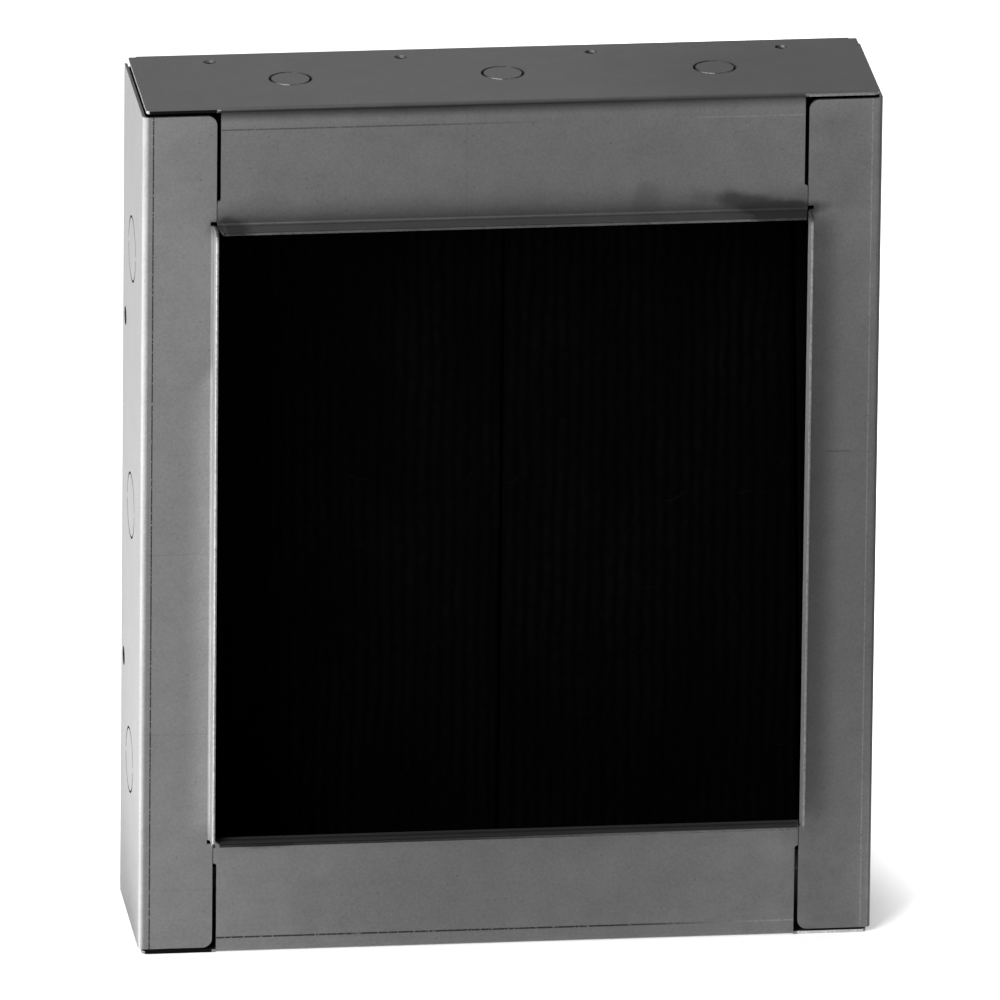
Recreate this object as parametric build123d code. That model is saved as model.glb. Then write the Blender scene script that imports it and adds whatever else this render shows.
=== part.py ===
from build123d import *
import os

# A recessed speaker back box: one blank of steel sheet, folded into a back, four walls, four front flanges
# and four lips round the opening, with strips of black fibre blanket glued inside.
# The open front faces -Y, +Z is up, and the origin lies under the middle of the whole box.

# Folded steel box, in millimetres
width = 381.0  # over the side walls
height = 457.2  # over the top and bottom walls
depth = 95.25  # from the back to the front of the flanges
sheet = 1.5  # thickness of the steel
bend = 1.5  # inside radius of every fold
opening_width = 304.8  # clear between the side lips
opening_height = 330.2  # clear between the top and bottom lips
lip_height = 12.7  # how far the lips stand in front of the flanges
lip_edge_round = 0.5  # dulled corners of the lips' free edges

# Gaps that the blank leaves between its folded arms
corner_relief = 6.0  # square notch at each corner of the back
wall_inset = 2.0  # ends of the top and bottom walls, inside the outer faces of the side walls
end_gap = 1.5  # between the ends of the side walls and the top and bottom walls
slot_width = 2.1  # open slot between a side flange and a top or bottom flange
slot_end_flat = 0.2  # straight part of a slot's closed end, beside its rounded corner
seam = 0.4  # hairline joint where the slot ends and the flanges nearly touch
seam_length = 14.5  # from the edge of the opening to the closed end of the slot
lip_relief = 2.2  # notch at each end of a side lip's fold
lip_taper = 2.0  # how much shorter the top and bottom lips are at their free edge
ear_setback = 1.0  # front edge of the top and bottom walls, behind the front of the flanges
ear_round = 3.0  # radius of the corners of the top and bottom walls
flange_round = 5.0  # radius of the free corners of the side flanges

# Knockouts and fixing holes
kerf = 1.2  # cut round a knockout
tab = 2.6  # bridge that holds a knockout, one at its front and one at its back
knockout_setback = 49.5  # centres of the knockouts, behind the front of the flanges
hole_setback = 15.0  # centres of the fixing holes, in front of the outside of the back
end_knockout = 22.2  # diameter in the top and bottom walls
end_knockout_pitch = 109.5
end_hole = 6.4  # diameter in the top and bottom walls
end_hole_pitch = 98.5
side_knockout = 34.9  # diameter in the side walls
side_knockout_pitch = 139.0
side_hole = 10.0  # diameter in the side walls
side_hole_pitch = 185.6

# Fibre lining
lining = 19.0  # thickness of the blanket
lining_round = 2.5  # softened front edges
lining_clearance = 0.3  # between a strip and the steel or the strip beside it
lining_seam = 0.8  # butt joint between strips
lining_margin = 17.0  # bare edge round the back, which leaves the fixing holes clear
middle_seam = 5.0  # butt joint of the two wide strips, right of the middle
strip_top = 35.5  # width of the narrow strip at its top, from the inside of the right wall
strip_bottom = 25.0  # the same at its bottom
side_strip_gap = 3.0  # between a side strip and the top and bottom walls

# Planes of the sheet, worked out from the sizes above
back = (depth + lip_height) / 2
front = back - depth
lip_edge = front - lip_height
half_width = width / 2
half_height = height / 2
half_sheet = sheet / 2
back_mid = back - half_sheet
front_mid = front + half_sheet
fold_zone = bend + sheet

# Outward and depth, the plane that every fold's section is drawn on
section_plane = Plane((0, 0, 0), x_dir=(0, 0, 1), z_dir=(-1, 0, 0))
flange_plane = Plane((0, front + sheet, 0), x_dir=(1, 0, 0), z_dir=(0, -1, 0))
glue_plane = Plane((0, back - sheet, 0), x_dir=(1, 0, 0), z_dir=(0, -1, 0))


def fold(start, corner, end, half_length, dull=False):
    """A strip of sheet with one right-angled fold; the points are (outward, depth) on its middle surface.

    Where its end is dulled, the corners of that end are rounded.
    """
    start, corner, end = Vector(*start), Vector(*corner), Vector(*end)
    to_start = (start - corner).normalized() * half_sheet
    to_end = (end - corner).normalized() * half_sheet
    inside_corner = corner + to_start + to_end
    outside_corner = corner - to_start - to_end
    inside = FilletPolyline(start + to_end, inside_corner, end + to_start, radius=bend)
    outside = FilletPolyline(start - to_end, outside_corner, end - to_start, radius=bend + sheet)
    section = make_face(inside + Line(inside @ 1, outside @ 1) + outside + Line(outside @ 0, inside @ 0))
    if dull:
        section = fillet(section.vertices().sort_by_distance(end)[:2], lip_edge_round)
    return extrude(section_plane * section, half_length, both=True)


def rectangle(left, right, low, high):
    """A rectangle between two pairs of edges."""
    middle = Pos((left + right) / 2, (low + high) / 2)
    return middle * Rectangle(right - left, high - low)


def rounded_corners(sketch, low, radius):
    """Round the two corners of a sketch that lie on its lower edge."""
    corners = [corner for corner in sketch.vertices() if abs(corner.Y - low) < seam]
    return fillet(corners, radius)


def knockout(diameter):
    """The cut round a knockout, broken by a tab at its front and its back."""
    ring = Circle(diameter / 2) - Circle(diameter / 2 - kerf)
    return ring - Rectangle(tab, diameter + kerf)


def wall_sheet(outline, outside, knockout_size, knockout_pitch, hole_size, hole_places):
    """A flat wall with its outer face at the given distance, three knockouts and a row of fixing holes."""
    knockouts = GridLocations(knockout_pitch, 0, 3, 1)
    outline -= Pos(0, front + knockout_setback) * knockouts * knockout(knockout_size)
    outline -= Pos(0, back - hole_setback) * hole_places * Circle(hole_size / 2)
    return extrude(Plane.XY.offset(outside - sheet) * outline, sheet)


def end_arm():
    """The top wall with its flange and lip, and its half of the back."""
    wall_mid = half_height - half_sheet
    lip_mid = opening_height / 2 + half_sheet
    lip_root = lip_mid + fold_zone
    wall_half = half_width - wall_inset
    tongue_half = opening_width / 2 - seam
    flange_half = opening_width / 2 - slot_width

    ear_front = front + ear_setback
    outline = rectangle(-wall_half, wall_half, ear_front, back_mid - fold_zone)
    outline = rounded_corners(outline, ear_front, ear_round)
    outline -= rectangle(-flange_half, flange_half, ear_front, front_mid + fold_zone)
    holes = GridLocations(end_hole_pitch, 0, 4, 1)
    wall = wall_sheet(outline, half_height, end_knockout, end_knockout_pitch, end_hole, holes)

    slot_end = opening_height / 2 + seam_length
    tongue = rectangle(-tongue_half, tongue_half, lip_root, slot_end)
    flange = tongue + rectangle(-flange_half, flange_half, slot_end, wall_mid - fold_zone)
    slot_corners = [corner for corner in flange.vertices()
                    if abs(abs(corner.X) - flange_half) < seam and abs(corner.Y - slot_end) < seam]
    flange = fillet(slot_corners, slot_width - seam - slot_end_flat)
    lip = fold((lip_root, front_mid), (lip_mid, front_mid), (lip_mid, lip_edge), tongue_half, dull=True)
    lip_plane = Plane.XY.offset(lip_mid)
    for side in (-1, 1):
        cut = Polyline(
            (side * tongue_half, front),
            (side * tongue_half, lip_edge),
            (side * (tongue_half - lip_taper), lip_edge),
            close=True,
        )
        lip -= extrude(lip_plane * make_face(cut), sheet, both=True)

    back_half = half_width - corner_relief
    arm = wall + extrude(flange_plane * flange, sheet) + lip
    arm += fold((0, back_mid), (wall_mid, back_mid), (wall_mid, back_mid - fold_zone), back_half)
    arm += fold((wall_mid, front_mid + fold_zone), (wall_mid, front_mid),
                (wall_mid - fold_zone, front_mid), flange_half)
    return arm


def side_arm():
    """A side wall with its flange and lip, and its half of the back, lying where the top wall is."""
    wall_mid = half_width - half_sheet
    lip_mid = opening_width / 2 + half_sheet
    lip_root = lip_mid + fold_zone
    wall_half = half_height - sheet - end_gap
    lip_half = opening_height / 2 + sheet

    outline = rectangle(-wall_half, wall_half, front_mid + fold_zone, back_mid - fold_zone)
    holes = GridLocations(side_hole_pitch, 0, 2, 1)
    wall = wall_sheet(outline, half_width, side_knockout, side_knockout_pitch, side_hole, holes)

    flange_edge = opening_width / 2
    flange = rectangle(-wall_half, wall_half, flange_edge, wall_mid - fold_zone)
    flange = rounded_corners(flange, flange_edge, flange_round)
    flange -= rectangle(-lip_half, lip_half, flange_edge, lip_root)
    for side in (-1, 1):
        notch = Rectangle(lip_relief, 2 * fold_zone)
        flange -= Pos(side * (lip_half + lip_relief / 2), flange_edge) * notch
    lip = fold((lip_root, front_mid), (lip_mid, front_mid), (lip_mid, lip_edge), lip_half, dull=True)

    back_half = half_height - corner_relief
    arm = wall + extrude(flange_plane * flange, sheet) + lip
    arm += fold((0, back_mid), (wall_mid, back_mid), (wall_mid, back_mid - fold_zone), back_half)
    arm += fold((wall_mid, front_mid + fold_zone), (wall_mid, front_mid),
                (wall_mid - fold_zone, front_mid), wall_half)
    return arm


def folded_box():
    """The whole sheet: the four arms joined through the back."""
    end, side = end_arm(), side_arm()
    return end + Rot(0, 180, 0) * end + Rot(0, 90, 0) * side + Rot(0, -90, 0) * side


def soften(pad, axis, facing):
    """Round the edges of a pad's free face, the one that faces furthest along an axis."""
    free_face = pad.faces().sort_by(axis)[facing]
    return fillet(free_face.edges(), lining_round)


def back_pad(points):
    """A strip of blanket glued to the back, from the corners of its outline."""
    pad = extrude(glue_plane * make_face(Polyline(*points, close=True)), lining)
    return soften(pad, Axis.Y, 0)


def back_linings():
    """The two wide strips and the narrow slanting one that cover the back."""
    edge = half_width - sheet - lining_margin
    end = half_height - sheet - lining_margin
    slant_low = half_width - sheet - strip_bottom
    slant_high = half_width - sheet - strip_top
    joint = lining_seam / 2
    left = [(-edge, -end), (middle_seam - joint, -end), (middle_seam - joint, end), (-edge, end)]
    right = [(middle_seam + joint, -end), (slant_low - joint, -end),
             (slant_high - joint, end), (middle_seam + joint, end)]
    strip = [(slant_low + joint, -end), (edge, -end), (edge, end), (slant_high + joint, end)]
    return back_pad(left), back_pad(right), back_pad(strip)


def side_lining():
    """The strip glued to the right wall, from behind the flange to the face of the back strips."""
    rear = back - sheet - lining - lining_clearance
    fore = front + fold_zone + lining_clearance
    half_length = half_height - sheet - side_strip_gap
    inside = half_width - sheet
    pad = Box(lining, rear - fore, 2 * half_length)
    return soften(Pos(inside - lining / 2, (rear + fore) / 2, 0) * pad, Axis.X, 0)


lining_left, lining_right, lining_strip = back_linings()
right_wall_lining = side_lining()
nodes = {
    "folded_box": folded_box(),
    "back_lining_left": lining_left,
    "back_lining_right": lining_right,
    "back_lining_strip": lining_strip,
    "side_lining_right": right_wall_lining,
    "side_lining_left": mirror(right_wall_lining, Plane.YZ),
}

os.makedirs("parts", exist_ok=True)
for name, solid in nodes.items():
    export_step(Pos(0, 0, half_height) * solid, f"parts/{name}.step")
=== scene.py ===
import math
from types import SimpleNamespace

import bmesh
import bpy
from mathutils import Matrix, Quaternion, Vector
from mathutils.bvhtree import BVHTree


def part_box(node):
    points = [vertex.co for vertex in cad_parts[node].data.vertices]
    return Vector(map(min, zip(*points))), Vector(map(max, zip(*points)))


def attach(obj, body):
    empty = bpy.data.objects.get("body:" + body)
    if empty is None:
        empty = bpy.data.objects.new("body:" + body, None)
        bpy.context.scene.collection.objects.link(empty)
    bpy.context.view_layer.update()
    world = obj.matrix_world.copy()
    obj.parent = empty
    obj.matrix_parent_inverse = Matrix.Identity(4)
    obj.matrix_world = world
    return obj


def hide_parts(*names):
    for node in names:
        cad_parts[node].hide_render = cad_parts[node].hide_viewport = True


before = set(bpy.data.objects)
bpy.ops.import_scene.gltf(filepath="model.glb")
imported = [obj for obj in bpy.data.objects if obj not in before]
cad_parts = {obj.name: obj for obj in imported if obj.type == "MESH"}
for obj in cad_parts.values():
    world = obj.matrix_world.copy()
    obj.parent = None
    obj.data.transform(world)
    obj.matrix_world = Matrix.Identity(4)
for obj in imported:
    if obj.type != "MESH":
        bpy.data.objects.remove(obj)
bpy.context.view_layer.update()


# Folded steel box
# One blank of bare mill-finish steel, sheared with its knockouts and holes and folded on a press brake into
# a back, four walls, four flanges and four lips. The corners stay open, and the sheared edges stay raw.

mm = 0.001
sheet = 1.5
fold_radius = 1.5
fold_reach = fold_radius + sheet
ear_setback = 1.0
lip_height = 12.7
side_flange = 38.1
end_flange = 63.5
knockout_pitch = 109.5
knockout_setback = 49.5
slug_radius = 9.9
kerf = 1.2
side_press_line = 5.5
top_press_line = 10.7
bottom_press_line = 8.2
grit_spacing = 5.0
edge_depth = 1.25 * sheet  # a face with more steel than this behind it is a sheared edge
all_depths = 1000  # reach of a stain that is the same at any depth
weld = 0.001 * mm
crease_angle = math.radians(30)


def sheet_metal(node, name):
    """A merged copy of a node, with an attribute that is 1 on the sheared edges of its sheet."""
    source = node.data
    mesh = bpy.data.meshes.new(name)
    mesh.from_pydata([v.co for v in source.vertices], [], [p.vertices[:] for p in source.polygons])
    shape = bmesh.new()
    shape.from_mesh(mesh)
    bmesh.ops.remove_doubles(shape, verts=shape.verts, dist=weld)
    inside = BVHTree.FromBMesh(shape)
    sheared = shape.faces.layers.float.new("sheared")
    for face in shape.faces:
        face.smooth = True
        depth = inside.ray_cast(face.calc_center_median() - face.normal * weld, -face.normal)[3]
        face[sheared] = float(depth > edge_depth * mm)
    for edge in shape.edges:
        edge.smooth = edge.calc_face_angle() < crease_angle
    shape.to_mesh(mesh)
    shape.free()
    piece = bpy.data.objects.new(name, mesh)
    bpy.context.collection.objects.link(piece)
    flats = piece.modifiers.new("Flat faces stay flat", "WEIGHTED_NORMAL")
    flats.keep_sharp = True
    return piece


class Flow:
    """A value in a node tree. Arithmetic on values adds Math nodes, and node() adds any other node."""

    def __init__(self, tree, socket):
        self.tree = tree
        self.socket = socket

    def node(self, kind, settings, inputs, output=0):
        added = self.tree.nodes.new(kind)
        for name, value in settings.items():
            setattr(added, name, value)
        for name, value in inputs.items():
            for part in value if isinstance(value, list) else [value]:
                if isinstance(part, Flow):
                    self.tree.links.new(part.socket, added.inputs[name])
                else:
                    added.inputs[name].default_value = part
        return Flow(self.tree, added.outputs[output])

    def math(self, operation, *terms):
        return self.node("ShaderNodeMath", {"operation": operation}, dict(enumerate(terms)))

    def __add__(self, other):
        return self.math("ADD", self, other)

    def __radd__(self, other):
        return self.math("ADD", other, self)

    def __sub__(self, other):
        return self.math("SUBTRACT", self, other)

    def __rsub__(self, other):
        return self.math("SUBTRACT", other, self)

    def __mul__(self, other):
        return self.math("MULTIPLY", self, other)

    def __rmul__(self, other):
        return self.math("MULTIPLY", other, self)

    def __truediv__(self, other):
        return self.math("DIVIDE", self, other)

    def __neg__(self):
        return self.math("MULTIPLY", self, -1.0)

    def __abs__(self):
        return self.math("ABSOLUTE", self)

    def rise(self, low, high):
        """0 below low, 1 above high, and smooth between them."""
        return self.node("ShaderNodeMapRange", {"interpolation_type": "SMOOTHSTEP"},
                         {"Value": self, "From Min": low, "From Max": high})

    def fall(self, low, high):
        """1 below low, 0 above high, and smooth between them."""
        return self.rise(high, low)

    def near(self, place, half_width, soft):
        """1 within half_width of a place, and 0 once soft beyond that."""
        return abs(self - place).fall(half_width, half_width + soft)

    def within(self, place, half_width):
        """1 within half_width of a place, and 0 beyond it."""
        return self.math("COMPARE", self, place, half_width)

    def above(self, limit):
        return self.math("GREATER_THAN", self, limit)

    def below(self, limit):
        return self.math("LESS_THAN", self, limit)

    def scaled(self, factor):
        """This vector times a number."""
        return self.node("ShaderNodeVectorMath", {"operation": "SCALE"}, {0: self, "Scale": factor})

    def along(self, direction):
        """How far this vector reaches along a direction."""
        return self.node("ShaderNodeVectorMath", {"operation": "DOT_PRODUCT"}, {0: self, 1: direction}, 1)

    def vector(self, x, y, z):
        return self.node("ShaderNodeCombineXYZ", {}, {"X": x, "Y": y, "Z": z})

    def parts(self):
        """The three parts of this vector."""
        return [self.node("ShaderNodeSeparateXYZ", {}, {"Vector": self}, axis) for axis in range(3)]

    def noise(self, size, detail=2.0, roughness=0.5):
        """Cloudy noise on this vector, about -0.5 to 0.5, with clouds of the given size."""
        cloud = self.node("ShaderNodeTexNoise", {},
                          {"Vector": self, "Scale": 1 / size, "Detail": detail, "Roughness": roughness})
        return cloud - 0.5


def new_material(name):
    """A material, its shader node, and its place on the piece in millimetres."""
    material = bpy.data.materials.new(name)
    material.use_nodes = True
    tree = material.node_tree
    shader = tree.nodes["Principled BSDF"]
    here = tree.nodes.new("ShaderNodeTexCoord")
    return material, shader, Flow(tree, here.outputs["Object"]).scaled(1 / mm)


def plug(shader, **values):
    """Link or set inputs of a shader, each named with its spaces as underscores."""
    for name, value in values.items():
        socket = shader.inputs[name.replace("_", " ")]
        if isinstance(value, Flow):
            value.tree.links.new(value.socket, socket)
        else:
            socket.default_value = value


def attribute(place, name):
    """A number that the mesh carries under a name."""
    return place.node("ShaderNodeAttribute", {"attribute_name": name}, {}, 2)


def stain(place, middle, reach, wander, tilt=0.0):
    """A soft patch round a middle, with an edge that wanders."""
    away = place.node("ShaderNodeMapping", {"vector_type": "TEXTURE"},
                      {"Vector": place, "Location": middle, "Rotation": (0, tilt, 0), "Scale": reach})
    spread = away.node("ShaderNodeVectorMath", {"operation": "LENGTH"}, {0: away}, 1)
    return (spread + wander).fall(0.35, 1.15)


def steel_places(place, low, high):
    """Where a point lies from the edges, folds and lips of the box, and how the rolled sheet varies there."""
    x, y, z = place.parts()
    front = low.y + lip_height
    opening = high.x - side_flange
    mouth_low, mouth_high = low.z + end_flange, high.z - end_flange
    on_sides = abs(x).above(opening - 0.2)
    mottle = place.noise(1.3, 1.0, 0.65)
    return SimpleNamespace(
        place=place, x=x, y=y, z=z, low=low, high=high, front=front, opening=opening, mouth_low=mouth_low,
        middle=(low.z + high.z) / 2,
        half_height=(high.z - low.z) / 2,
        sheared=attribute(place, "sheared"),
        on_front=y.within(front, 0.5),
        near_front=y.below(front + 5),
        on_ears=y.within(front + ear_setback, 0.4),
        on_lips=y.below(front - fold_radius),
        on_tips=y.below(low.y + 1),
        on_sides=on_sides,
        on_top_fold=y.below(front + fold_reach) * (1 - on_sides),
        below_top=high.z - z,
        above_lip=z - (mouth_high + sheet),
        left_of_lip=-opening - sheet - x,
        right_of_lip=x - opening - sheet,
        clouds=place.noise(70, 1.0),
        patches=place.noise(15, 2.0, 0.6),
        mottle=mottle,
        broken=mottle.rise(-0.2, -0.06),
        streaks=place.vector(x / 60, y / 60, z).noise(0.9, 1.0),
    )


def press_lines(at):
    """Broken lines where the sheet lay against the press tools, with painted shade that makes them dark on
    the left and a painted highlight that makes them bright on the right.
    """
    side_line = abs(at.x).within(at.high.x - side_press_line, 0.35) * at.on_sides
    top_line = at.z.within(at.high.z - top_press_line, 0.4) * 0.6
    bottom_line = at.z.within(at.low.z + bottom_press_line, 0.45)
    lines = (side_line + (top_line + bottom_line) * (1 - at.on_sides)) * at.on_front * at.broken
    # Painted shade on the lines on the left, and a painted highlight on the lines on the right
    line_shade = lines * (at.x - at.z.below(at.middle) * 110).fall(-60, 40)
    line_glint = lines * at.x.rise(75, 115)
    return (1 - line_shade * 0.8) * (1 + line_glint * 0.35)


def scratches(at):
    """Hairline scratches, and one deeper one on the right flange."""
    hairlines = at.x.within(-24, 0.25) * at.above_lip.above(0)
    for level in (35, 120, 218):
        hairlines = hairlines + at.z.within(level, 0.25) * at.x.below(-at.opening)
    deep_scratch = at.z.within(264, 0.4) * at.x.near(170, 5, 3)
    return 1 - (hairlines * 0.1 + deep_scratch * 0.25) * at.on_front * (at.broken + 0.2)


def knockout_shade_and_glint(at):
    """Painted shade round the kerf of each knockout in the top, and a painted highlight on the sheared edge
    at the front of its slug.
    """
    across = at.x.math("WRAP", at.x, knockout_pitch / 2, -knockout_pitch / 2)
    behind = at.y - (at.front + knockout_setback)
    radius = across.math("SQRT", across * across + behind * behind)
    # Painted shade round each kerf, and a painted highlight on the front edge of each slug
    kerf_shade = radius.near(slug_radius + kerf / 2, kerf / 2 + 0.2, 0.3) * at.below_top.below(0.2)
    slug_glint = at.sheared * radius.within(slug_radius, 0.2) * behind.fall(-8, -3) * at.below_top.below(sheet)
    return (1 - kerf_shade * 0.55) * (1 + slug_glint * 2.5)


# Dark patches by the top lip, a painted shadow under the bottom lip's left end, then broad painted shade on
# two
# flanges: the middle and the reach of each, across and up, its tilt in degrees, its raggedness and its
# strength
front_darkening = [
    ((128, 399), (34, 6), 9, 0.9, 0.7),
    ((141, 396), (24, 5), 0, 0.9, 0.8),
    ((-146, 394), (11, 7), 0, 0.9, 1.0),
    ((70, 400), (11, 13), 0, 0.9, 0.22),
    # A painted shadow under the left end of the bottom lip
    ((-126, 60.5), (18, 4.5), 0, 0.9, 0.85),
    # Broad painted shade on the right flange, then on the bottom flange
    ((172, 190), (34, 290), 0, 0.15, 0.47),
    ((20, 30), (170, 45), 0, 0.15, 0.38),
]


def smudges_and_painted_shade(at):
    """How dark and dull the steel is, from 0 to 1: dark patches by the top lip, painted shade on the top, the
    top flange, the right flange and the bottom flange, and a painted shadow under the bottom lip's left end.
    """
    drift = at.patches * 0.15
    # Broad painted shade on the top flange, stronger right of the left flange
    top_flange_shade = stain(at.place, (-20, at.front, 428), (240, all_depths, 50), drift)
    marks = top_flange_shade * (0.25 + at.x.above(-at.opening) * 0.25)
    for (across, up), (reach_across, reach_up), tilt, raggedness, strength in front_darkening:
        middle, reach = (across, at.front, up), (reach_across, all_depths, reach_up)
        marks = marks + stain(at.place, middle, reach, at.patches * raggedness, math.radians(tilt)) * strength
    # Painted shade on the right part of the top
    top_right_shade = stain(at.place, (160, 0, at.high.z), (130, 90, 1), drift)
    marks = marks * at.near_front + top_right_shade * 0.3
    return marks.math("MINIMUM", marks, 1.0)


def painted_highlights(at):
    """Painted highlights on the left fold, on the side lips and on a few edges, and painted bounced light on
    the flange beside the left lip.
    """
    # Painted highlight on the left fold, stronger towards the top
    left_fold = (at.x - at.low.x).below(fold_reach) * at.y.below(at.front + fold_reach)
    left_fold = left_fold * (0.05 + at.z.rise(40, 420) * 0.36)
    left_lip = at.left_of_lip.within(0, 0.5) * at.y.below(at.front - 0.6)
    # Painted bounced light on the left flange beside the left lip
    beside_left_lip = at.left_of_lip.fall(-1, 15) * at.left_of_lip.above(0) * at.y.within(at.front, 1.2)
    beside_left_lip = beside_left_lip * at.z.rise(62, 75) * (at.z + at.left_of_lip * 1.2).fall(312, 324)
    # Painted highlight on the right lip's inner face and tip
    right_lip = at.right_of_lip.within(-sheet, 0.3) * at.on_lips * (1 - at.on_tips) * 0.85
    right_lip = right_lip + at.right_of_lip.within(-sheet / 2, 1) * at.on_tips * 0.26
    # Painted glints on the top rim, the lower right ear and the crease at the top lip's left end
    top_rim = at.below_top.below(0.5) * at.on_top_fold * at.x.fall(-110, 20)
    lower_right_ear = at.z.below(sheet + 0.2) * at.x.above(at.opening) * at.on_ears
    crease = stain(at.place, (-146.5, at.front, 391), (1.1, all_depths, 7), 0.0, math.radians(-28))
    crease = crease * at.above_lip.above(-5) * at.near_front
    edges = (1 + top_rim * 0.4) * (1 + lower_right_ear * 1.9) * (1 + crease * 0.9)
    return edges * (1 + left_fold) * (1 + left_lip * 1.1) * (1 + beside_left_lip * 0.46) * (1 + right_lip)


def painted_lip_and_fold_shade(at):
    """Painted shade above the top lip and on the top flange's fold, and a painted shadow beside the right
    lip.
    """
    # Painted shade above the top lip, a painted shadow beside the right lip, and painted shade on the top
    # fold
    above_top_lip = at.above_lip.fall(0, 18) * at.above_lip.above(-5) * (1 - at.on_sides)
    beside_right_lip = at.right_of_lip.fall(7, 18) * at.right_of_lip.above(0) * at.z.near(at.middle, 155, 15)
    by_lips = (above_top_lip * 0.31 + beside_right_lip * 0.25) * at.on_front
    top_fold = at.below_top.rise(0.3, 1.1) * at.below_top.fall(0.5, 7.5) * at.on_top_fold
    return 1 - (by_lips + top_fold * (0.8 - at.x.rise(-50, 190) * 0.28))


def painted_corner_shade(at):
    """Painted shade on edges and faces that lie in a corner, on the lips' tips and inner faces, and along the
    right fold.
    """
    # Painted shade on the lip tips, the lips' upper faces, the left ears, the left lip's fold, the right fold
    # and the side kerfs
    top_tip = at.above_lip.within(-sheet / 2, 1.2) * at.on_tips * (1 - at.x.rise(10, 130) * 0.35)
    bottom_tip = at.z.below(at.mouth_low + 0.5) * at.on_tips * (0.35 + at.x.fall(-60, 120) * 0.5)
    bottom_face = at.z.within(at.mouth_low, 0.3)
    bottom_groove = bottom_face * at.y.near(at.low.y + 7, 1.0, 0.8)
    upper_faces = (at.above_lip.within(0, 0.3) * 0.2 + bottom_face * 0.5) * at.on_lips * (1 - at.on_tips)
    left_ears = abs(at.z - at.middle).above(at.half_height - sheet - 0.2) * at.on_ears
    left_ears = left_ears * at.x.below(-at.opening)
    left_lip_fold = at.left_of_lip.within(0.7, 0.8) * at.y.within(at.front - 0.8, 0.7)
    right_fold = at.x.above(at.high.x - sheet) * at.y.within(at.front + 1.2, 1.7)
    side_kerfs = at.sheared * abs(at.x).above(at.high.x - sheet - 0.2) * abs(at.z - at.middle).below(172)
    corner_shade_sum = top_tip * 0.55 + bottom_tip + bottom_groove * 0.2 + upper_faces + left_ears * 0.97
    return 1 - (corner_shade_sum + left_lip_fold * 0.15 + right_fold * 0.5 + side_kerfs * 0.8)


def grit(at):
    """Dark specks, a few of them bright."""
    cell = at.place.node("ShaderNodeTexVoronoi", {"feature": "F1"},
                         {"Vector": at.place, "Scale": 1 / grit_spacing})
    size, kind, _ = Flow(cell.tree, cell.socket.node.outputs["Color"]).parts()
    specks = cell.fall(0.03, 0.1) * size
    return (1 - specks * 0.6) * (1 + specks * kind.below(0.18) * 1.5)


def bare_steel(low, high):
    """Grey rolled sheet with the marks of the press and of hands and lighter raw edges, and with painted
    highlights and painted shade on its folds, lips, edges and corners.
    """
    material, shader, place = new_material("bare_steel")
    at = steel_places(place, low, high)
    smudge_and_shade = smudges_and_painted_shade(at)
    tone = 0.18 + at.streaks * 0.01 + at.clouds * 0.025 + at.patches * 0.035 + at.mottle * 0.065
    tone = tone + at.sheared * (0.05 + at.mottle * 0.2)
    # Press lines and knockout rings carry painted shade and painted highlights, and the smudges carry painted
    # shade
    tone = tone * press_lines(at) * scratches(at) * knockout_shade_and_glint(at) * (1 - smudge_and_shade * 0.6)
    # Painted highlights, painted shade by the lips and folds, painted shade in the corners, then grit
    tone = tone * painted_highlights(at) * painted_lip_and_fold_shade(at) * painted_corner_shade(at) * grit(at)
    gloss = 0.46 + at.streaks * 0.03 + at.clouds * 0.06 + at.mottle * 0.05
    gloss = gloss + smudge_and_shade * 0.14 + at.sheared * 0.05 + at.on_lips * 0.22
    bump = place.node("ShaderNodeBump", {}, {"Strength": 0.25, "Distance": 0.01 * mm, "Height": at.mottle})
    plug(shader, Base_Color=tone, Metallic=1.0, Roughness=gloss, Normal=bump)
    return material


steel_box = sheet_metal(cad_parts["folded_box"], "steel_box")
box_low, box_high = (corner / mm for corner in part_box("folded_box"))
steel_box.data.materials.append(bare_steel(box_low, box_high))
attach(steel_box, "root")
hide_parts("folded_box")


# Fibre lining on the back
# Two wide strips and a narrow slanting one of black fibre blanket, cut with a knife, butted together and
# glued to the back. Shallow wandering cords run up their faces, and loose fibres and lint lie on them.

edge_round = 2.6
column_step = 1.0
row_step = 2.4
side_rings = (0.66, 0.33, 0.0)


def steps(length, step):
    """Places along a length in millimetres: close together at its rounded ends, and even between them."""
    bend = [edge_round * (1 - math.cos(math.radians(angle))) for angle in (0, 25, 50, 70, 90)]
    count = round((length - 2 * edge_round) / step)
    even = [edge_round + (length - 2 * edge_round) * index / count for index in range(1, count)]
    return bend + even + [length - place for place in reversed(bend)]


def drop(place, length):
    """How far the rounded end of a pad lies below its face."""
    inward = max(edge_round - place, edge_round - (length - place), 0)
    return edge_round - math.sqrt(max(edge_round ** 2 - inward ** 2, 0))


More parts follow.
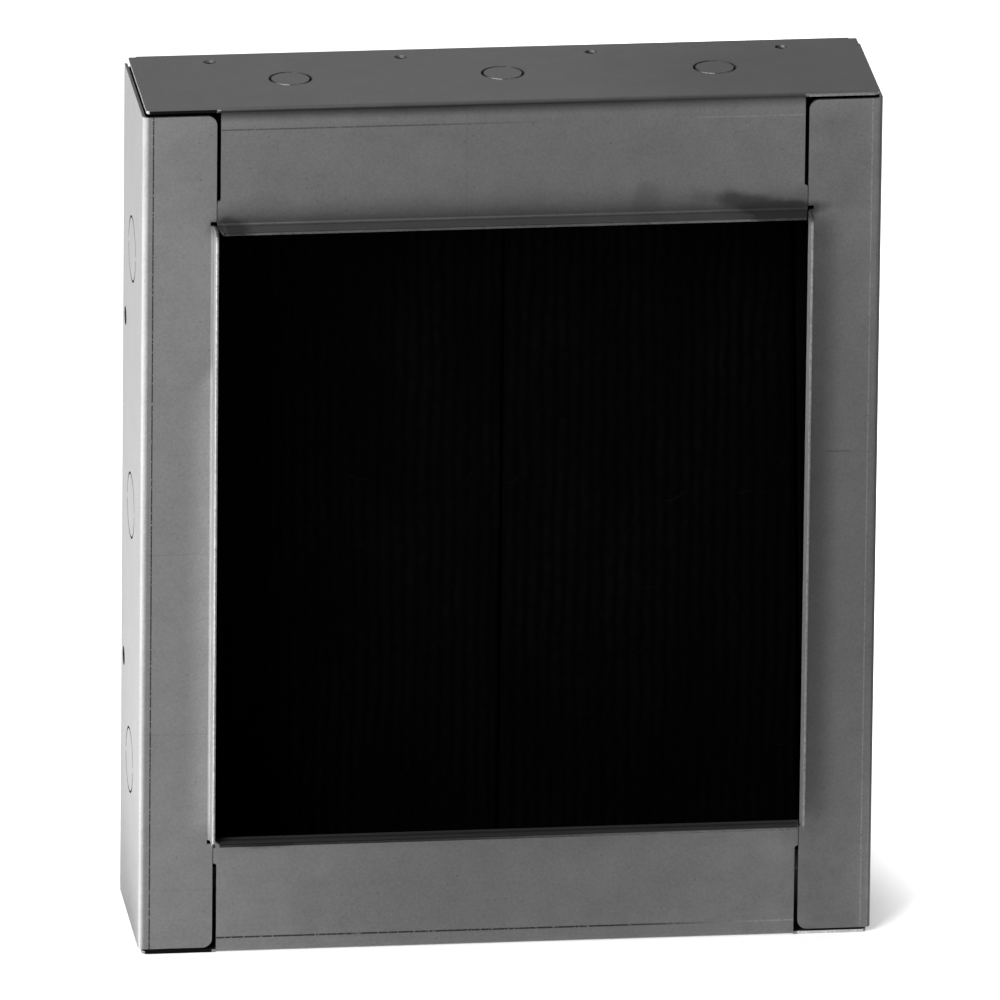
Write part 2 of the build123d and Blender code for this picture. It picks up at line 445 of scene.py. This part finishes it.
def blanket_blank(name, corners, facing, thickness):
    """A closed pad on four glued corners, anticlockwise seen from its free face, with softened edges."""
    corners, facing = [Vector(corner) for corner in corners], Vector(facing)
    across = (corners[1] - corners[0]).length / mm
    along = (corners[3] - corners[0]).length / mm
    columns, rows = steps(across, column_step), steps(along, row_step)
    points = []
    for row in rows:
        left = corners[0].lerp(corners[3], row / along)
        right = corners[1].lerp(corners[2], row / along)
        for column in columns:
            rise = thickness - drop(column, across) - drop(row, along)
            points.append(left.lerp(right, column / across) + facing * rise * mm)
    wide, tall = len(columns), len(rows)
    faces = [(i + j * wide, i + 1 + j * wide, i + 1 + (j + 1) * wide, i + (j + 1) * wide)
             for j in range(tall - 1) for i in range(wide - 1)]

    # The sides, in rings from the rim of the free face down to the glue
    rim = list(range(wide))
    rim += [wide - 1 + j * wide for j in range(1, tall)]
    rim += [i + (tall - 1) * wide for i in reversed(range(wide - 1))]
    rim += [j * wide for j in reversed(range(1, tall - 1))]
    glue_line = corners[0].dot(facing)
    upper = rim
    for share in side_rings:
        lower = [len(points) + index for index in range(len(rim))]
        for index in rim:
            lift = points[index].dot(facing) - glue_line
            points.append(points[index] - facing * lift * (1 - share))
        for here in range(len(rim)):
            beside = (here + 1) % len(rim)
            faces.append((upper[here], lower[here], lower[beside], upper[beside]))
        upper = lower
    faces.append(list(reversed(upper)))
    mesh = bpy.data.meshes.new(name)
    mesh.from_pydata(points, [], faces)
    mesh.shade_smooth()
    blank = bpy.data.objects.new(name, mesh)
    bpy.context.collection.objects.link(blank)
    return blank


def pressed_pad(given):
    """Press wandering cords into the free face of a blank, and make its sides ragged."""
    blank = given["Geometry"]
    place = blank.node("GeometryNodeInputPosition", {}, {}).scaled(1 / mm)
    normal = blank.node("GeometryNodeInputNormal", {}, {})
    across, up = place.along(given["Across"]), place.parts()[2]
    outward = normal.along(given["Facing"])
    free_face = outward.rise(0.3, 0.8)
    wander = place.vector(across / 55, up / 90, given["Seed"]).noise(1.0)
    wander = wander + place.vector(across / 13, up / 20, given["Seed"]).noise(1.0) * 0.6
    turns = (across + wander * given["Wander"]) / given["Cord Pitch"]
    lumps = place.vector(across / 5, up / 7, given["Seed"] + 2).noise(1.0).rise(-0.2, 0.15)
    cords = abs(turns.math("SINE", turns * math.pi)) * (0.4 + lumps * 0.6)
    pressed = place.vector(across / 45, up / 130, given["Seed"] + 9).noise(1.0).rise(-0.14, 0.12)
    swell = place.vector(across / 90, up / 120, given["Seed"] + 4).noise(1.0) + 0.5
    sink = (1 - cords) * given["Cord Depth"] * (0.3 + pressed * 0.7) + swell * given["Swell"]
    ragged = (place.noise(9.0, 3.0) + 0.5) * given["Edge Wander"]
    depth = free_face * sink + outward.near(0, 0.3, 0.3) * ragged
    pad = blank.node("GeometryNodeSetPosition", {}, {"Geometry": blank, "Offset": normal.scaled(depth * -mm)})
    # Where the cords crest, for the painted light on them in the lining's material
    pad = pad.node("GeometryNodeStoreNamedAttribute", {"data_type": "FLOAT", "domain": "POINT"},
                   {"Geometry": pad, "Name": "crest", "Value": cords * (0.35 + pressed * 0.65) * free_face})
    return pad, outward


def loose_fibres(given, pad, outward):
    """Short bent fibres that lie on the free face of a pad, each with its own chance of being lint."""
    def chance(low, high, offset):
        return pad.node("FunctionNodeRandomValue", {"data_type": "FLOAT"},
                        {2: low, 3: high, "Seed": given["Seed"] + offset}, 1)

    length = given["Fibre Length"]
    strand = pad.node("GeometryNodeCurveQuadraticBezier", {}, {
        "Resolution": 4, "Start": pad.vector(length * -0.5 * mm, 0.0, -0.1 * mm),
        "Middle": pad.vector(length * 0.1 * mm, length * 0.35 * mm, 0.9 * mm),
        "End": pad.vector(length * 0.5 * mm, 0.0, -0.1 * mm)})
    round_wire = pad.node("GeometryNodeCurvePrimitiveCircle", {},
                          {"Resolution": 3, "Radius": given["Fibre Radius"] * mm})
    strand = pad.node("GeometryNodeCurveToMesh", {},
                      {"Curve": strand, "Profile Curve": round_wire, "Fill Caps": True})
    scatter = {"Mesh": pad, "Selection": outward.above(0.95),
               "Density": given["Fibre Density"], "Seed": given["Seed"]}
    spots = pad.node("GeometryNodeDistributePointsOnFaces", {}, scatter)
    upright = Flow(pad.tree, spots.socket.node.outputs["Rotation"])
    spots = pad.node("GeometryNodeStoreNamedAttribute", {"data_type": "FLOAT", "domain": "POINT"},
                     {"Geometry": spots, "Name": "lint", "Value": chance(0.0, 1.0, 1)})
    turn = pad.node("FunctionNodeAxisAngleToRotation", {}, {"Angle": chance(0.0, 2 * math.pi, 2)})
    turned = pad.node("FunctionNodeRotateRotation", {"rotation_space": "LOCAL"},
                      {"Rotation": upright, "Rotate By": turn})
    planting = {"Points": spots, "Instance": strand, "Rotation": turned, "Scale": chance(0.5, 1.2, 3)}
    return pad.node("GeometryNodeInstanceOnPoints", {}, planting)


def blanket_tree():
    """A node tree that makes a fibre blanket from a blank; its sizes are in millimetres."""
    tree = bpy.data.node_groups.new("Fibre blanket", "GeometryNodeTree")
    sockets = {"Geometry": "Geometry", "Facing": "Vector", "Across": "Vector", "Cord Pitch": "Float",
               "Cord Depth": "Float", "Wander": "Float", "Swell": "Float", "Edge Wander": "Float",
               "Fibre Density": "Float", "Fibre Length": "Float", "Fibre Radius": "Float", "Seed": "Int",
               "Material": "Material"}
    for name, kind in sockets.items():
        tree.interface.new_socket(name=name, in_out="INPUT", socket_type="NodeSocket" + kind)
    tree.interface.new_socket(name="Geometry", in_out="OUTPUT", socket_type="NodeSocketGeometry")
    inlet = tree.nodes.new("NodeGroupInput")
    given = {name: Flow(tree, inlet.outputs[name]) for name in sockets}
    pad, outward = pressed_pad(given)
    fibres = loose_fibres(given, pad, outward)
    whole = pad.node("GeometryNodeJoinGeometry", {}, {"Geometry": [pad, fibres]})
    whole = whole.node("GeometryNodeRealizeInstances", {}, {"Geometry": whole})
    whole = whole.node("GeometryNodeSetMaterial", {}, {"Geometry": whole, "Material": given["Material"]})
    outlet = tree.nodes.new("NodeGroupOutput")
    tree.links.new(whole.socket, outlet.inputs["Geometry"])
    return tree


def fibre_lining():
    """Matte black felted fibres with grey lint, and painted light that makes the crests of the cords a little
    lighter than the grooves between them.
    """
    material, shader, place = new_material("fibre_lining")
    x, y, z = place.parts()
    crest, lint = attribute(place, "crest"), attribute(place, "lint")
    felt = place.noise(0.8, 3.0, 0.65)
    strands = place.vector(x, y, z / 7).noise(0.6)
    patches = place.noise(60)
    # Painted light on the crests of the cords, and painted shade in the grooves between them
    tone = (0.0004 + crest * 0.0009) * (1 + felt * 1.1 + strands * 0.8 + patches * 0.8)
    tone = tone + lint.rise(0.55, 1.0) * 0.012
    bump = place.node("ShaderNodeBump", {}, {"Strength": 0.6, "Distance": 0.3 * mm, "Height": felt + strands})
    plug(shader, Base_Color=tone, Roughness=0.95, Specular_IOR_Level=0.01, Normal=bump)
    return material


def felted(blank, **sizes):
    """Run the blanket's node tree on a blank and keep the result as a plain mesh."""
    modifier = blank.modifiers.new("Fibre blanket", "NODES")
    modifier.node_group = fibre_blanket
    for socket in fibre_blanket.interface.items_tree:
        name = socket.name.replace(" ", "_")
        if socket.in_out == "INPUT" and name in sizes:
            modifier[socket.identifier] = sizes[name]
    depsgraph = bpy.context.evaluated_depsgraph_get()
    evaluated = blank.evaluated_get(depsgraph)
    mesh = bpy.data.meshes.new_from_object(evaluated, preserve_all_data_layers=True, depsgraph=depsgraph)
    blank.modifiers.remove(modifier)
    blank.data = mesh
    return blank


def glue(pad, node):
    """Fix a pad in the box in place of its plain solid."""
    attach(pad, "root")
    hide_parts(node)


fibre_blanket = blanket_tree()
fibre_black = fibre_lining()
blanket = {"Cord_Pitch": 6.5, "Fibre_Density": 5000.0, "Fibre_Radius": 0.05, "Material": fibre_black}
left_low, left_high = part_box("back_lining_left")
right_low, right_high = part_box("back_lining_right")
strip_low, strip_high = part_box("back_lining_strip")
butt_joint = right_low.x - left_high.x
back_strips = {
    "back_lining_left": (left_low.x, left_high.x, left_high.x, left_low.x),
    "back_lining_right": (right_low.x, right_high.x, strip_low.x - butt_joint, right_low.x),
    "back_lining_strip": (right_high.x + butt_joint, strip_high.x, strip_high.x, strip_low.x),
}
for seed, (node, outline) in enumerate(back_strips.items()):
    heights = (left_low.z, left_low.z, left_high.z, left_high.z)
    glued_corners = [(x, left_high.y, z) for x, z in zip(outline, heights)]
    pad = blanket_blank(node + "_blanket", glued_corners, (0, -1, 0), (left_high.y - left_low.y) / mm)
    felted(pad, Facing=(0.0, -1.0, 0.0), Across=(1.0, 0.0, 0.0), Cord_Depth=1.0, Wander=8.0, Swell=1.6,
           Edge_Wander=0.7, Fibre_Length=11.0, Seed=seed, **blanket)
    glue(pad, node)


# Fibre lining on the side walls
# One strip of the same blanket on each side wall, behind the flange. It is glued with its smoother side out,
# so the cords hardly show.

for side, node in ((-1, "side_lining_left"), (1, "side_lining_right")):
    low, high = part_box(node)
    wall = low.x if side < 0 else high.x
    first, second = (low.y, high.y) if side < 0 else (high.y, low.y)
    glued_corners = [(wall, first, low.z), (wall, second, low.z),
                     (wall, second, high.z), (wall, first, high.z)]
    pad = blanket_blank(node + "_blanket", glued_corners, (-side, 0, 0), (high.x - low.x) / mm)
    felted(pad, Facing=(-float(side), 0.0, 0.0), Across=(0.0, 1.0, 0.0), Cord_Depth=0.4, Wander=9.0,
           Swell=1.2, Edge_Wander=0.4, Fibre_Length=9.0, Seed=20 + side, **blanket)
    glue(pad, node)


# Floor
# A plain white table top. It glows a little, so that the ground stays even and pale, and most of all to the
# left of the box, where its glow lights the left fold from top to bottom.

floor_size = 200.0
floor_drop = 0.2 * mm
floor_mesh = bpy.data.meshes.new("floor")
half_floor = floor_size / 2
floor_mesh.from_pydata([(-half_floor, -half_floor, -floor_drop), (half_floor, -half_floor, -floor_drop),
                        (half_floor, half_floor, -floor_drop), (-half_floor, half_floor, -floor_drop)],
                       [], [(0, 1, 2, 3)])
floor = bpy.data.objects.new("floor", floor_mesh)
bpy.context.collection.objects.link(floor)
white_table, table_shader, table_place = new_material("white_table")
table_x, table_y, _ = table_place.parts()
left_of, ahead_of = box_low.x - table_x, box_low.y + lip_height - table_y
reach = left_of.math("SQRT", left_of * left_of + ahead_of * ahead_of)
turn = left_of.math("ARCTAN2", ahead_of, left_of)
left_glow = turn.rise(-1.25, -0.4) * turn.fall(-0.45, 1.4) * reach.fall(1700, 2600)
left_glow = left_glow * (1.25 - reach.rise(300, 900) * 0.25)
right_glow = table_x.rise(180, 255) * table_x.fall(310, 430) * table_y.rise(-350, -60)
under_lips = table_y.near(-110, 60, 60)
behind_box = table_y.rise(-50, 300) * 0.68 + table_y.rise(-400, -180) * 0.25
even_glow = behind_box.math("MAXIMUM", behind_box, reach.rise(1700, 2600) * 0.75)
glow = even_glow + left_glow * 4.2 + right_glow * 0.75 + under_lips * 0.09
plug(table_shader, Base_Color=(0.8, 0.8, 0.8, 1), Roughness=0.9, Specular_IOR_Level=0.0,
     Emission_Color=glow, Emission_Strength=1.0)
floor_mesh.materials.append(white_table)


# Studio light
# One large soft box in front on the left, a weak one behind on the right, and a room that is bright behind
# the box and dark overhead.

def soft_box(name, place, aim, size, watts):
    """A square area light."""
    data = bpy.data.lights.new(name, "AREA")
    data.size = size
    data.energy = watts
    light = bpy.data.objects.new(name, data)
    light.location = place
    light.rotation_euler = (Vector(aim) - Vector(place)).to_track_quat("-Z", "Y").to_euler()
    bpy.context.collection.objects.link(light)


soft_box("left_soft_box", place=(-1.3, -1.5, 1.3), aim=(0, 0, 0.2), size=1.2, watts=75)
soft_box("right_fill", place=(1.8, 1.2, 0.9), aim=(0, 0, 0.2), size=1.2, watts=10)

room = bpy.data.worlds.new("room")
bpy.context.scene.world = room
room.use_nodes = True
sky = room.node_tree.nodes["Background"]
direction = room.node_tree.nodes.new("ShaderNodeTexCoord")
toward = Flow(room.node_tree, direction.outputs["Generated"])
up = toward.parts()[2]
behind = toward.along((-0.6, 0.8, 0)).rise(-0.6, 0.3)
brightness = (0.3 + behind * 0.77) * (1 - up.rise(0.03, 0.2) * 0.5) - up.rise(0.15, 0.75) * 0.1
plug(sky, Color=brightness.math("MAXIMUM", brightness, 0.05), Strength=1.0)


# Camera
# A long lens from far away, a little left of the front and above it, as in the photograph.

view_azimuth = math.radians(-7.0)
view_elevation = math.radians(19.0)
view_roll = math.radians(0.62)
view_distance = 12.0
focal_pixels = 23280
frame_pixels = 1000
aim_height = 228.4
aim = Vector((0, 0, aim_height * mm))
outward = Vector((math.sin(view_azimuth) * math.cos(view_elevation),
                  -math.cos(view_azimuth) * math.cos(view_elevation),
                  math.sin(view_elevation)))
camera_data = bpy.data.cameras.new("camera")
camera_data.lens = focal_pixels / frame_pixels * camera_data.sensor_width
camera = bpy.data.objects.new("camera", camera_data)
camera.location = aim + outward * view_distance
level = (-outward).to_track_quat("-Z", "Y")
camera.rotation_euler = (level @ Quaternion((0, 0, 1), view_roll)).to_euler()
bpy.context.collection.objects.link(camera)
bpy.context.scene.camera = camera
bpy.context.scene.view_settings.view_transform = "Standard"
